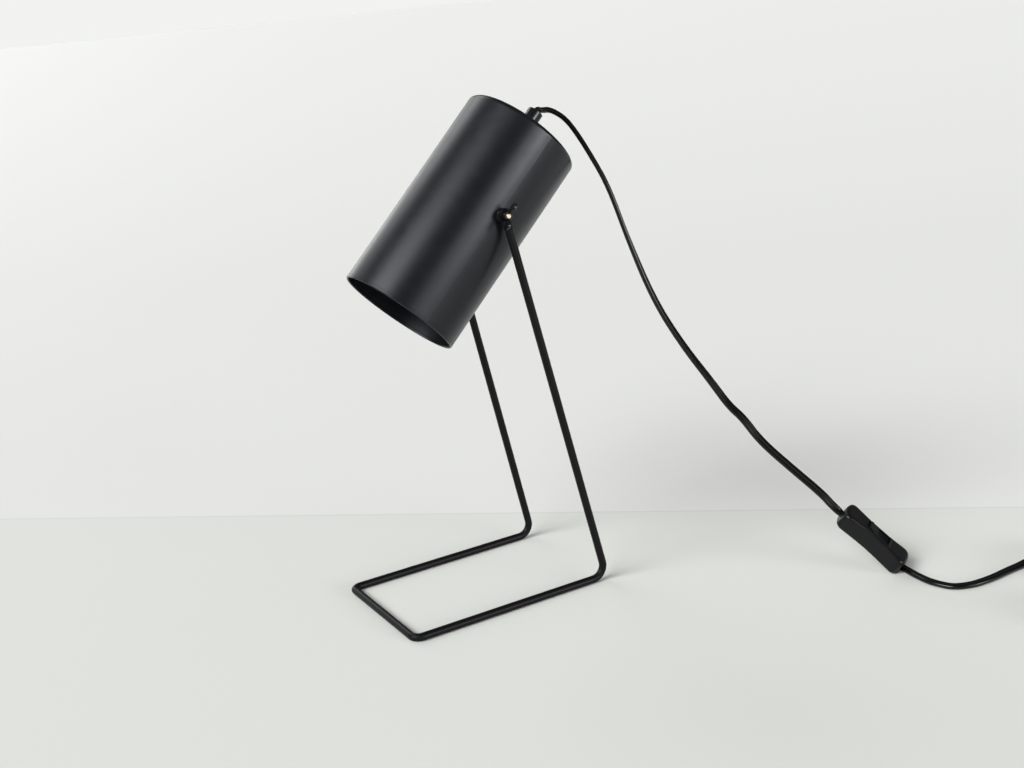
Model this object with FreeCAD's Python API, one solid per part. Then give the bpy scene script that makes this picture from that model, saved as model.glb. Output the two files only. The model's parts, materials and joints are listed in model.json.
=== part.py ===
import FreeCAD, Part
import math
import os

# Tabletop searchlight lamp: a cylindrical shade tilting between the two legs of a bent wire stand.
# Millimetres, +Z up, the lamp shines towards -Y. The origin is on the table, under the middle of
# the lamp without its cord.

V = FreeCAD.Vector
X = V(1, 0, 0)
Y = V(0, 1, 0)
Z = V(0, 0, 1)

# wire stand
rod_r = 3.25
base_width = 126.0
base_depth = 182.5
front_bend_r = 7.0
rear_bend_r = 11.0
pivot_height = 323.25
pivot_setback = 60.1
eye_r = 5.8
eye_thickness = 3.0
neck_half_width = 4.5
neck_top = 6.6
neck_length = 11.5

# shade, measured along its axis from the pivot, which lies a little behind the axis
shade_r = 50.4
pivot_to_mouth = 103.9
pivot_to_top = 77.1
axis_offset = 1.65
top_edge_r = 4.0
sheet = 0.8
hem_height = 2.5
hem_groove = 0.12
tilt = math.radians(45.3)

# pivot hardware, M4
screw_r = 2.0
pivot_clearance = 0.08
hole_clearance = 0.15
spacer_length = 3.8
spacer_r = 5.8
spacer_edge = 0.3
saddle_r = 6.0
saddle_flat = 0.8
screw_head_r = 4.0
screw_head_height = 2.4
screw_head_edge_r = 1.4
screw_end_edge = 0.4
screw_stand_out = 6.5
cross_span = 4.4
cross_width = 0.8
cross_depth = 1.2
nut_clearance = 0.05
nut_hub_base_r = 4.0
nut_hub_top_r = 3.5
nut_hub_height = 4.6
wing_span_r = 11.0
wing_height = 11.0
wing_lobe_r = 3.5
wing_thickness = 1.9
wing_edge = 0.4
wing_root_r = 1.0
wing_foot = 0.5
wing_shoulder = 0.3
wing_angle = 62.0

# cord grip and nipple, M10 x 1
nipple_r = 5.0
nipple_bore_r = 3.7
nipple_in_grip = 9.0
grip_r = 6.0
grip_length = 20.0
grip_edge_r = 1.2
grip_screw_r = 1.5
grip_screw_proud = 0.4
grip_slot_depth = 0.6
grip_slot_width = 0.5
lock_washer_r = 7.5
lock_washer_thickness = 1.0
nut_flats = 14.0
nut_height = 3.0

# lampholder E27
holder_length = 57.0
holder_r = 19.75
holder_wall = 2.0
holder_edge = 1.0
cap_length = 25.0
cap_taper = 1.0
cap_shoulder_inset = 3.0
cap_shoulder_drop = 2.5
cap_dome_drop = 7.0
cap_collar_r = 8.0
cap_collar_height = 5.0
thread_lap = 5.0
thread_gap = 0.15
lap_wall = 1.5
insert_height = 9.0
insert_groove_width = 5.0
insert_groove_depth = 3.0
insert_top_below_cap = 24.0
shell_inner_r = 13.3
shell_wall = 0.4
shell_length = 22.0
shell_neck = 3.5
shell_neck_r = 11.2
shell_flange_r = 9.7
shell_gap = 1.6
contact_height = 2.5
contact_pad_r = 3.2
contact_pad_height = 0.8
contact_base_r = 2.6
contact_tip_r = 1.8
side_contact_width = 4.0
side_contact_start = 6.0
side_contact_end = 10.6
side_contact_post = 1.6
side_contact_thickness = 0.5
terminal_offset = 9.0
terminal_screw_r = 1.5
terminal_screw_length = 4.5
terminal_hole_depth = 5.0
terminal_head_r = 2.75
terminal_head_height = 1.8
terminal_slot_width = 0.8
core_r = 1.1
core_straight = 3.2
core_rise = 2.6
core_spread = 4.6
core_beyond_screw = 1.5

# flat twin cord
cord_width = 6.2
cord_thickness = 3.8
cord_seat = 0.1
cord_above_table = 0.1
bend_share = 0.45
cord_split_x = 12.9
sheath_end = 58.0

# in-line switch
switch_length = 65.0
switch_side_length = 60.0
switch_end_width = 25.5
switch_waist_width = 22.5
switch_height = 15.5
switch_corner_r = 6.0
switch_edge_r = 3.0
switch_wall = 1.8
switch_roll = -4.0
cord_in_switch = 5.0
entry_drop = 1.6
entry_play = 0.15
entry_rise = 0.4
rocker_length = 22.0
rocker_width = 11.0
rocker_gap = 0.25
rocker_pivot_height = 3.4
rocker_crown = 0.5
rocker_dip = 0.2
rocker_tip = 8.0
rocker_depth = 3.4
rocker_skirt = 1.0
rocker_taper = 2.5
bezel_width = 1.8
bezel_height = 0.6
bezel_corner_r = 1.6
bezel_edge = 0.5
trunnion_r = 1.0
trunnion_clearance = 0.05
trunnion_length = 1.4
cheek_thickness = 1.6
cheek_half_length = 4.5
cheek_foot = 1.0
post_r = 3.2
post_offset = 5.6
post_from_end = 11.5
screw_shank_r = 1.25
screw_shank_length = 8.0
screw_play = 0.3
screw_sink_r = 2.4
screw_sink_depth = 2.2
sink_play = 0.2
sink_head_height = 1.4
sink_slot_width = 0.6
sink_slot_depth = 0.6
block_offset = 13.0
block_size = 6.0
block_height = 3.6
strip_start = 3.0
strip_length = 7.5
strip_width = 3.0
strip_thickness = 0.5

# coil of spare cord
coil_r = 31.8
coil_width = 14.0
layer_gap = 0.1
coil_edge = 1.6
tie_thickness = 0.5
tie_play = 0.05
tie_lift = 0.15
tie_width = 6.0
tie_turn = 60.0

# flat two-pin plug
plug_width = 35.3
plug_thickness = 13.7
plug_length = 38.0
plug_shoulder = 22.0
plug_rear_width = 14.0
plug_edge_r = 2.5
relief_length = 24.0
relief_front_r = 5.4
relief_rear_r = 3.9
relief_overlap = 4.0
relief_slots = 5
relief_slot_start = 3.0
relief_slot_pitch = 4.0
relief_slot_width = 1.4
relief_slot_bed_r = 3.3
relief_slot_growth = 0.35
relief_rib = 2.0
pin_r = 2.0
pin_length = 19.0
pin_spacing = 18.6
sleeve_length = 10.0
sleeve_r = 1.8
pin_core_r = 1.5
pin_tip_r = 1.2

# derived places
shade_axis = V(0, math.sin(tilt), math.cos(tilt))
rim_back = (shade_r - top_edge_r - axis_offset) * math.cos(tilt)
lamp_back = (pivot_to_top - top_edge_r) * math.sin(tilt) + rim_back + top_edge_r
rear_y = (base_depth + rod_r + pivot_setback - lamp_back) / 2
pivot = V(0, rear_y - pivot_setback, pivot_height)
eye_x = shade_r + spacer_length + eye_thickness / 2
eye_outer = eye_x + eye_thickness / 2

os.makedirs("parts", exist_ok=True)


def export(node, shape):
    """Write one node and print its name and volume."""
    shape.exportStep("parts/" + node + ".step")
    print(node, len(shape.Solids), round(shape.Volume, 1), shape.isValid())


def disc(radius, length, start, axis=Z):
    """Cylinder from a start point along an axis."""
    return Part.makeCylinder(radius, length, start, axis)


def tube(outer, inner, length, start, axis=Z):
    """Hollow cylinder."""
    return disc(outer, length, start, axis).cut(disc(inner, length, start, axis))


def box(low, high):
    """Box between two corners."""
    size = high.sub(low)
    return Part.makeBox(size.x, size.y, size.z, low)


def revolved(outline):
    """Solid of revolution about Z of a closed outline of (radius, height) pairs."""
    corners = [V(radius, 0, height) for radius, height in outline]
    return Part.Face(Part.makePolygon(corners + corners[:1])).revolve(V(), Z, 360)


def stadium(width, thickness, centre, direction, across):
    """Flat face with round ends, square to a direction, its long side along 'across'."""
    up = V(direction).cross(across).normalize()
    side = V(across).normalize()
    reach = (width - thickness) / 2
    half = thickness / 2
    low_left = centre - side * reach - up * half
    high_left = centre - side * reach + up * half
    low_right = centre + side * reach - up * half
    high_right = centre + side * reach + up * half
    edges = [Part.makeLine(low_left, low_right)]
    edges.append(Part.Arc(low_right, centre + side * (width / 2), high_right).toShape())
    edges.append(Part.makeLine(high_right, high_left))
    edges.append(Part.Arc(high_left, centre - side * (width / 2), low_left).toShape())
    return Part.Face(Part.Wire(edges))


def round_face(radius, centre, direction):
    """Round face square to a direction."""
    return Part.Face(Part.Wire(Part.makeCircle(radius, centre, direction)))


def quartered_circle(radius, centre, direction, across):
    """Circle square to a direction, in four arcs that match the sides and ends of a stadium."""
    side = (across - direction * direction.dot(across)).normalize()
    up = direction.cross(side)
    diagonal = radius / math.sqrt(2)
    signs = ((-1, -1), (1, -1), (1, 1), (-1, 1))
    corners = [centre + (side * x + up * y) * diagonal for x, y in signs]
    middles = [centre - up * radius, centre + side * radius, centre + up * radius, centre - side * radius]
    ends = corners[1:] + corners[:1]
    points = zip(corners, middles, ends)
    return Part.Wire([Part.Arc(start, middle, end).toShape() for start, middle, end in points])


def cord_bends(route):
    """Bend radius at every inner point of a cord's route."""
    radii = []
    for before, corner, after in zip(route, route[1:], route[2:]):
        turn = (corner - before).getAngle(after - corner)
        shorter = min((corner - before).Length, (after - corner).Length)
        radii.append(bend_share * shorter / math.tan(turn / 2))
    return radii


def carried(section, route, radii):
    """Carry a section along straight runs joined by tangent arcs: the solid and the last section."""
    section = section.copy()
    here = route[0]
    pieces = []
    for before, corner, after, radius in zip(route, route[1:], route[2:], radii):
        ahead = (corner - before).normalize()
        leaving = (after - corner).normalize()
        turn = ahead.getAngle(leaving)
        start = corner - ahead * (radius * math.tan(turn / 2))
        pieces.append(section.extrude(start - here))
        section.translate(start - here)
        inward = (leaving - ahead * ahead.dot(leaving)).normalize()
        centre = start + inward * radius
        axis = ahead.cross(inward)
        pieces.append(section.revolve(centre, axis, math.degrees(turn)))
        section.rotate(centre, axis, math.degrees(turn))
        here = corner + leaving * (radius * math.tan(turn / 2))
    pieces.append(section.extrude(route[-1] - here))
    section.translate(route[-1] - here)
    return pieces[0].multiFuse(pieces[1:]).removeSplitter(), section


def route_length(route, radii):
    """Centre-line length of a route with its bends."""
    length = sum((after - before).Length for before, after in zip(route, route[1:]))
    for before, corner, after, radius in zip(route, route[1:], route[2:], radii):
        turn = (corner - before).getAngle(after - corner)
        length += radius * turn - 2 * radius * math.tan(turn / 2)
    return length


# ---------------------------------------------------------------- wire stand
def build_wire_frame():
    half = base_width / 2
    front_y = rear_y - base_depth
    legs = []
    necks = []
    for side in (-1, 1):
        eye = V(side * eye_x, pivot.y, pivot.z)
        foot = V(side * half, rear_y, rod_r)
        down = (foot - eye).normalize()
        flat_down = V(0, down.y, down.z).normalize()
        across = flat_down.cross(X)
        legs.append(eye + down * neck_length)
        flat = stadium(2 * neck_half_width, eye_thickness, eye + flat_down * neck_top, flat_down, across)
        necks.append(flat.extrude(flat_down * -neck_top))
        necks.append(Part.makeLoft([flat.OuterWire, quartered_circle(rod_r, legs[-1], down, across)], True))
        necks.append(disc(eye_r, eye_thickness, eye - X * (eye_thickness / 2), X))
    route = [legs[0], V(-half, rear_y, rod_r), V(-half, front_y, rod_r)]
    route += [V(half, front_y, rod_r), V(half, rear_y, rod_r), legs[1]]
    first = round_face(rod_r, route[0], route[1] - route[0])
    wire, _ = carried(first, route, [rear_bend_r, front_bend_r, front_bend_r, rear_bend_r])
    wire = wire.multiFuse(necks)
    hole_r = screw_r + pivot_clearance
    return wire.cut(disc(hole_r, 2 * eye_outer, V(-eye_outer, pivot.y, pivot.z), X))


def both_sides(piece):
    """A piece on the +X side and its mirror image."""
    return Part.makeCompound([piece, piece.mirror(V(), X)])


# ---------------------------------------------------------------- shade, upright
top_inner = pivot_to_top - sheet
nut_top = top_inner - lock_washer_thickness
cap_top = nut_top - nut_height
holder_mouth = cap_top - holder_length
insert_top = cap_top - insert_top_below_cap
insert_bottom = insert_top - insert_height
cap_mouth = cap_top - cap_length


def at_pivot(shape):
    """Turn an upright piece, built about the pivot, to its resting tilt and place."""
    shape = shape.copy()
    shape.rotate(V(), X, -math.degrees(tilt))
    shape.translate(pivot)
    return shape


def on_axis(shape):
    """Turn an upright piece, built about the shade's own axis, to its resting tilt and place."""
    shape = shape.copy()
    shape.translate(V(0, -axis_offset, 0))
    return at_pivot(shape)


def build_shade():
    inner = shade_r - sheet
    hem_inner = shade_r - 2 * sheet
    low = -pivot_to_mouth
    groove = low + hem_height
    edges = []
    outer_line = [V(shade_r, 0, low + sheet), V(shade_r, 0, groove - hem_groove)]
    outer_line += [V(shade_r - hem_groove, 0, groove), V(shade_r, 0, groove + hem_groove)]
    outer_line += [V(shade_r, 0, pivot_to_top - top_edge_r)]
    for start, end in zip(outer_line, outer_line[1:]):
        edges.append(Part.makeLine(start, end))
    corner = V(shade_r - top_edge_r, 0, pivot_to_top - top_edge_r)
    diagonal = V(1, 0, 1).normalize()
    edges.append(Part.Arc(outer_line[-1], corner + diagonal * top_edge_r, corner + Z * top_edge_r).toShape())
    hole = nipple_r + hole_clearance
    line = [corner + Z * top_edge_r, V(hole, 0, pivot_to_top)]
    line += [V(hole, 0, top_inner), V(corner.x, 0, top_inner)]
    for start, end in zip(line, line[1:]):
        edges.append(Part.makeLine(start, end))
    inner_edge_r = top_edge_r - sheet
    side_top = V(inner, 0, corner.z)
    edges.append(Part.Arc(line[-1], corner + diagonal * inner_edge_r, side_top).toShape())
    line = [side_top, V(inner, 0, groove)]
    line += [V(hem_inner, 0, groove - sheet / 2), V(hem_inner, 0, low + sheet)]
    for start, end in zip(line, line[1:]):
        edges.append(Part.makeLine(start, end))
    edges.append(Part.Arc(line[-1], V(inner, 0, low), outer_line[0]).toShape())
    shade = Part.Face(Part.Wire(edges)).revolve(V(), Z, 360)
    return shade.cut(disc(screw_r + hole_clearance, 2 * shade_r, V(-shade_r, axis_offset, 0), X))


def build_pivot_screws():
    head_seat = saddle_face()
    shank = disc(screw_r, eye_x + screw_stand_out - head_seat, V(head_seat, 0, 0), X)
    end = [edge for edge in shank.Edges if edge.CenterOfMass.x > eye_x + 1 and edge.Closed]
    shank = shank.makeChamfer(screw_end_edge, end)
    start = head_seat - screw_head_height
    head = disc(screw_head_r, screw_head_height, V(start, 0, 0), X)
    rim = [edge for edge in head.Edges if edge.CenterOfMass.x < head_seat - 1 and edge.Closed]
    head = head.makeFillet(screw_head_edge_r, rim)
    wide = cross_span / 2
    thin = cross_width / 2
    slot = box(V(start, -thin, -wide), V(start + cross_depth, thin, wide))
    cross = box(V(start, -wide, -thin), V(start + cross_depth, wide, thin))
    return both_sides(head.fuse(shank).cut(slot.fuse(cross)).removeSplitter())


def saddle_face():
    """Distance of the saddle washers' flat faces from the middle of the shade."""
    inner = shade_r - sheet
    return math.sqrt(inner ** 2 - (saddle_r + axis_offset) ** 2) - saddle_flat


def build_saddle_washers():
    flat = saddle_face()
    blank = tube(saddle_r, screw_r + hole_clearance, shade_r - flat, V(flat, 0, 0), X)
    inner = disc(shade_r - sheet, 4 * saddle_r, V(0, -axis_offset, -2 * saddle_r))
    return both_sides(blank.common(inner))


def build_pivot_spacers():
    start = shade_r - 1
    blank = tube(spacer_r, screw_r + hole_clearance, spacer_length + 1, V(start, 0, 0), X)
    bore_rim = 2 * math.pi * (screw_r + hole_clearance)
    ends = [edge for edge in blank.Edges if edge.Closed and edge.CenterOfMass.x > shade_r + 1]
    blank = blank.makeChamfer(spacer_edge, [edge for edge in ends if edge.Length > bore_rim + 1])
    outer = disc(shade_r, 4 * spacer_r, V(0, -axis_offset, -2 * spacer_r))
    return both_sides(blank.cut(outer))


def build_cord_grip():
    grip = disc(grip_r, grip_length, Z * pivot_to_top)
    rim = [edge for edge in grip.Edges if edge.Closed and edge.CenterOfMass.z > pivot_to_top + 1]
    grip = grip.makeFillet(grip_edge_r, rim)
    grip = grip.cut(disc(nipple_r, nipple_in_grip, Z * pivot_to_top))
    grip = grip.cut(disc(cord_width / 2 + cord_seat, grip_length, Z * pivot_to_top))
    return grip.cut(disc(grip_screw_r, grip_r, V(0, 0, grip_screw_height()), -X))


def grip_screw_height():
    """Height of the cord grip's set screw above the pivot."""
    return pivot_to_top + (nipple_in_grip + grip_length) / 2


def build_grip_screw():
    start = cord_width / 2 + cord_seat
    height = grip_screw_height()
    end = grip_r + grip_screw_proud
    screw = disc(grip_screw_r, end - start, V(-start, 0, height), -X)
    half = grip_slot_width / 2
    low = V(-end, -grip_screw_r, height - half)
    return screw.cut(box(low, V(grip_slot_depth - end, grip_screw_r, height + half)))


def build_top_nipple():
    low = cap_top - cap_collar_height
    return tube(nipple_r, nipple_bore_r, pivot_to_top + nipple_in_grip - low, Z * low)


def hexagon(flats, height, start):
    """Hexagonal prism on Z."""
    corner_r = flats / math.sqrt(3)
    angles = [k * math.pi / 3 for k in range(7)]
    corners = [V(corner_r * math.cos(angle), corner_r * math.sin(angle), start) for angle in angles]
    return Part.Face(Part.makePolygon(corners)).extrude(Z * height)


def build_nipple_nut():
    return hexagon(nut_flats, nut_height, cap_top).cut(disc(nipple_r, nut_height, Z * cap_top))


def build_lock_washer():
    return tube(lock_washer_r, nipple_r + hole_clearance, lock_washer_thickness, Z * nut_top)


def build_holder_cap():
    shoulder = cap_top - cap_collar_height
    dome = shoulder - cap_dome_drop
    inner = holder_r - holder_wall
    round_r = holder_r - cap_shoulder_inset
    round_height = shoulder - cap_shoulder_drop
    outline = [(nipple_r, cap_top), (cap_collar_r, cap_top), (cap_collar_r + cap_taper, shoulder)]
    outline += [(round_r, round_height), (holder_r, dome), (holder_r, cap_mouth), (inner, cap_mouth)]
    outline += [(inner, dome), (round_r - holder_wall * 0.75, round_height - holder_wall)]
    outline += [(nipple_r, shoulder - holder_wall)]
    return revolved(outline)


def build_holder_body():
    lap_r = holder_r - holder_wall - thread_gap
    bore = shell_inner_r + shell_wall + shell_gap
    lap_top = cap_mouth + thread_lap
    outline = [(holder_r, cap_mouth), (lap_r, cap_mouth), (lap_r, lap_top)]
    outline += [(lap_r - lap_wall, lap_top), (lap_r - lap_wall, insert_bottom), (bore, insert_bottom)]
    outline += [(bore, holder_mouth), (holder_r - holder_edge, holder_mouth)]
    outline += [(holder_r, holder_mouth + holder_edge)]
    return revolved(outline)


def build_holder_insert():
    insert_r = holder_r - holder_wall - lap_wall - 2 * thread_gap
    block = disc(insert_r, insert_height, Z * insert_bottom)
    for side in (-1, 1):
        place = V(side * terminal_offset, 0, insert_top)
        block = block.cut(disc(terminal_screw_r, terminal_hole_depth, place, -Z))
    half = insert_groove_width / 2
    low = V(-half, -insert_r, insert_top - insert_groove_depth)
    return block.cut(box(low, V(half, insert_r, insert_top)))


def build_thread_shell():
    """Screw shell that necks in to a flange, held between the insert and the side contact."""
    low = insert_bottom - shell_length
    neck = insert_bottom - shell_neck
    outer = shell_inner_r + shell_wall
    outline = [(shell_inner_r, low), (outer, low), (outer, neck)]
    outline += [(shell_neck_r + shell_wall, insert_bottom), (shell_flange_r, insert_bottom)]
    outline += [(shell_flange_r, insert_bottom - shell_wall), (shell_neck_r, insert_bottom - shell_wall)]
    outline += [(shell_inner_r, neck)]
    return revolved(outline)


def build_centre_contact():
    start = Z * insert_bottom
    pad = disc(contact_pad_r, contact_pad_height, start, -Z)
    reach = contact_height - contact_pad_height
    tongue = Part.makeCone(contact_base_r, contact_tip_r, reach, start - Z * contact_pad_height, -Z)
    return pad.fuse(tongue).removeSplitter()


def build_side_contact():
    """Strip that rises from the insert and carries the screw shell's flange."""
    half = side_contact_width / 2
    seat = insert_bottom - shell_wall
    low = seat - side_contact_thickness
    foot = box(V(side_contact_start, -half, low), V(side_contact_end, half, seat))
    post_end = side_contact_start + side_contact_post
    post = box(V(side_contact_start, -half, low), V(post_end, half, insert_bottom))
    return foot.fuse(post).removeSplitter()


def build_terminal_screws():
    place = V(terminal_offset, 0, insert_top)
    shank = disc(terminal_screw_r, terminal_screw_length, place, -Z)
    head = disc(terminal_head_r, terminal_head_height, place)
    half = terminal_slot_width / 2
    slot = box(place + V(-terminal_head_r, -half, terminal_head_height / 2),
               place + V(terminal_head_r, half, terminal_head_height))
    return both_sides(head.fuse(shank).cut(slot).removeSplitter())


def build_core_leads(across):
    """Two cores from the sheath's end to the terminal heads, in the upright frame."""
    leads = []
    for side in (-1, 1):
        start = across * (side * (cord_width - cord_thickness) / 2) + Z * sheath_end
        end_height = insert_top + terminal_head_height + core_r
        end = V(side * (terminal_offset + core_beyond_screw), 0, end_height)
        spread = V(side * core_spread, side * core_beyond_screw, end_height + core_rise)
        route = [start, start - Z * core_straight, spread, end]
        lead, _ = carried(round_face(core_r, route[0], -Z), route, cord_bends(route))
        leads.append(lead)
    return Part.makeCompound(leads)


# ---------------------------------------------------------------- wing nuts
def build_wing_nut():
    start = V(eye_outer, pivot.y, pivot.z)
    hub = Part.makeCone(nut_hub_base_r, nut_hub_top_r, nut_hub_height, start, X)
    lobe_x = eye_outer + wing_height - wing_lobe_r
    lobe_z = wing_span_r - wing_lobe_r
    root_low = V(eye_outer + wing_foot, 0, wing_root_r)
    root_high = V(eye_outer + nut_hub_height - wing_shoulder, 0, wing_root_r)
    centre = V(lobe_x, 0, lobe_z)
    low_tangent = tangent_point(root_low, centre, -1)
    high_tangent = tangent_point(root_high, centre, 1)
    far = centre + (centre - (low_tangent + high_tangent) * 0.5).normalize() * wing_lobe_r
    edges = [Part.makeLine(root_low, low_tangent), Part.Arc(low_tangent, far, high_tangent).toShape()]
    edges += [Part.makeLine(high_tangent, root_high), Part.makeLine(root_high, root_low)]
    wing = Part.Face(Part.Wire(edges)).extrude(Y * wing_thickness)
    wing.translate(V(0, -wing_thickness / 2, 0))
    rim = [edge for edge in wing.Edges if abs(abs(edge.CenterOfMass.y) - wing_thickness / 2) < 0.01]
    wing = wing.makeChamfer(wing_edge, rim)
    wing.translate(V(0, pivot.y, pivot.z))
    other = wing.copy()
    other.rotate(start, X, 180)
    nut = hub.multiFuse([wing, other])
    nut = nut.cut(disc(screw_r + nut_clearance, 2 * wing_height, start, X))
    nut.rotate(start, X, wing_angle - 90)
    return nut


def tangent_point(outside, centre, side):
    """Point where a line from an outside point touches the wing's round lobe, in the XZ plane."""
    reach = centre - outside
    opening = math.asin(wing_lobe_r / reach.Length)
    along = math.sqrt(reach.Length ** 2 - wing_lobe_r ** 2)
    heading = math.atan2(reach.x, reach.z) + side * opening
    return outside + V(math.sin(heading), 0, math.cos(heading)) * along


# ---------------------------------------------------------------- cord from the grip to the switch
shade_front = X.cross(shade_axis)
grip_end = pivot + shade_axis * (pivot_to_top + grip_length) + shade_front * axis_offset
switch_axis = V(0.58082, 0.45155, -0.67731).normalize()
switch_low = V(214.05, grip_end.y + 185.73, 3.38)
switch_top = switch_low - switch_axis * switch_length
level_across = Z.cross(switch_axis).normalize()
switch_turn = FreeCAD.Rotation(switch_axis, -switch_roll)
switch_across = switch_turn.multVec(level_across)
switch_up = switch_axis.cross(switch_across)
switch_centre = (switch_top + switch_low) * 0.5 + switch_up * entry_drop


def hung(share, back, lift):
    """Point of the hanging cord: its share of the way from grip to switch, moved back and up."""
    return grip_end + (switch_top - grip_end) * share + V(0, back, lift)


def laid(right, back, lift):
    """Point of the cord on the table, from the switch's lower end, lifted off the table."""
    return V(switch_low.x + right, switch_low.y + back, cord_thickness / 2 + cord_above_table + lift)


lamp_route = [
    grip_end,
    grip_end + shade_axis * 4.2,
    hung(0.0181, 9.6, 7.3),
    hung(0.0537, 12.6, 12.5),
    hung(0.0915, 12.5, 14.1),
    hung(0.1472, 11.9, 10.8),
    hung(0.2026, 11.1, 4.7),
    hung(0.2601, 10.4, -19.1),
    hung(0.3481, 8.5, -42.4),
    hung(0.4466, 7.6, -47.6),
    hung(0.5419, 6.8, -45.4),
    hung(0.6022, 5.7, -44.9),
    hung(0.6549, 4.4, -37.1),
    hung(0.7139, 4.0, -37.1),
    hung(0.8440, 1.8, -18.8),
    hung(0.9369, -0.1, -4.8),
    switch_top - switch_axis * 8.0,
    switch_top + switch_axis * cord_in_switch,
]

table_route = [
    switch_low - switch_axis * cord_in_switch,
    switch_low + switch_axis * 1.0,
    laid(7.4, -0.4, 0.3),
    laid(18.9, -1.8, 0.0),
    laid(32.9, -2.6, 0.0),
    laid(44.3, 0.1, 0.0),
    laid(52.6, 3.9, 0.0),
    laid(58.3, 15.0, 0.0),
    laid(60.2, 25.4, 0.0),
    laid(60.5, 41.5, 0.0),
    laid(59.0, 59.3, 0.0),
    laid(59.1, 77.2, 0.3),
    laid(58.3, 93.3, 1.0),
    laid(58.0, 107.3, 1.8),
]

coil_centre = V(switch_low.x + 94.0, switch_low.y + 114.3, 0)
coil_low = tie_thickness + tie_play + tie_lift
coil_height = 2 * cord_width + 2 * layer_gap
upper_layer = coil_low + 1.5 * (cord_width + layer_gap)

plug_route = [
    coil_centre + V(35.3, 6.9, upper_layer),
    coil_centre + V(37.4, -3.9, 9.3),
    coil_centre + V(40.1, -17.6, plug_thickness / 2 + cord_above_table),
    coil_centre + V(41.6, -25.5, plug_thickness / 2),
]


def build_lamp_cord():
    """The cord pieces at the lamp: in the grip, on the shade's side and on the stand's side."""
    radii = cord_bends(lamp_route)
    route = lamp_route[::-1]
    first = stadium(cord_width, cord_thickness, route[0], route[1] - route[0], switch_across)
    cord, last = carried(first, route, radii[::-1])
    report_cord("lamp cord", cord, lamp_route, radii)
    inside = last.extrude(shade_axis * -(pivot_to_top + grip_length - sheath_end))
    limit = 1000.0
    near = cord.common(box(V(-limit, -limit, 0), V(cord_split_x, limit, limit)))
    far = cord.common(box(V(cord_split_x, -limit, 0), V(limit, limit, limit)))
    flat_edges = [edge for edge in last.Edges if edge.Curve.TypeId == "Part::GeomLine"]
    across = flat_edges[0].Vertexes[1].Point - flat_edges[0].Vertexes[0].Point
    return near, far, inside, across.normalize()


def report_cord(name, solid, route, radii):
    """Print a cord's bend radii and compare its volume with section times length."""
    area = cord_thickness * (cord_width - cord_thickness) + math.pi * cord_thickness ** 2 / 4
    length = route_length(route, radii)
    print(name, "length", round(length, 1), "volume ratio", round(solid.Volume / (area * length), 4))
    print(name, "radii", [round(radius, 1) for radius in radii])


# ---------------------------------------------------------------- in-line switch, flat about its middle
def placed_switch(shape):
    """Move a switch piece from its own axes to its place on the cord."""
    shape = shape.copy()
    turn = FreeCAD.Rotation(switch_axis, switch_across, switch_up, "XZY")
    shape.Placement = FreeCAD.Placement(switch_centre, turn).multiply(shape.Placement)
    return shape


def switch_blank(inset):
    """Rounded housing outline with waisted sides and convex ends, drawn in by an inset."""
    half = switch_side_length / 2 - inset
    wide = switch_end_width / 2 - inset
    waist = switch_waist_width / 2 - inset
    end = switch_length / 2 - inset
    height = switch_height - 2 * inset
    corner_r = switch_corner_r - inset
    edge_r = switch_edge_r - inset
    edges = [Part.Arc(V(-half, -wide, 0), V(0, -waist, 0), V(half, -wide, 0)).toShape()]
    edges.append(Part.Arc(V(half, -wide, 0), V(end, 0, 0), V(half, wide, 0)).toShape())
    edges.append(Part.Arc(V(half, wide, 0), V(0, waist, 0), V(-half, wide, 0)).toShape())
    edges.append(Part.Arc(V(-half, wide, 0), V(-end, 0, 0), V(-half, -wide, 0)).toShape())
    blank = Part.Face(Part.Wire(edges)).extrude(Z * height)
    blank.translate(V(0, 0, -height / 2))
    upright = [edge for edge in blank.Edges if abs(edge.CenterOfMass.z) < 0.01]
    blank = blank.makeFillet(corner_r, upright)
    rims = [edge for edge in blank.Edges if abs(abs(edge.CenterOfMass.z) - height / 2) < 0.01]
    return blank.makeFillet(edge_r, rims)


def switch_posts():
    """Screw posts of the housing, one near each end."""
    place = switch_length / 2 - post_from_end
    return [V(-place, post_offset, 0), V(place, -post_offset, 0)]


def rocker_window(margin, low, high):
    """Block round the rocker's window, wider by a margin, between two heights."""
    half = rocker_length / 2 + rocker_gap + margin
    wide = rocker_width / 2 + rocker_gap + margin
    return box(V(-half, -wide, low), V(half, wide, high))


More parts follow.
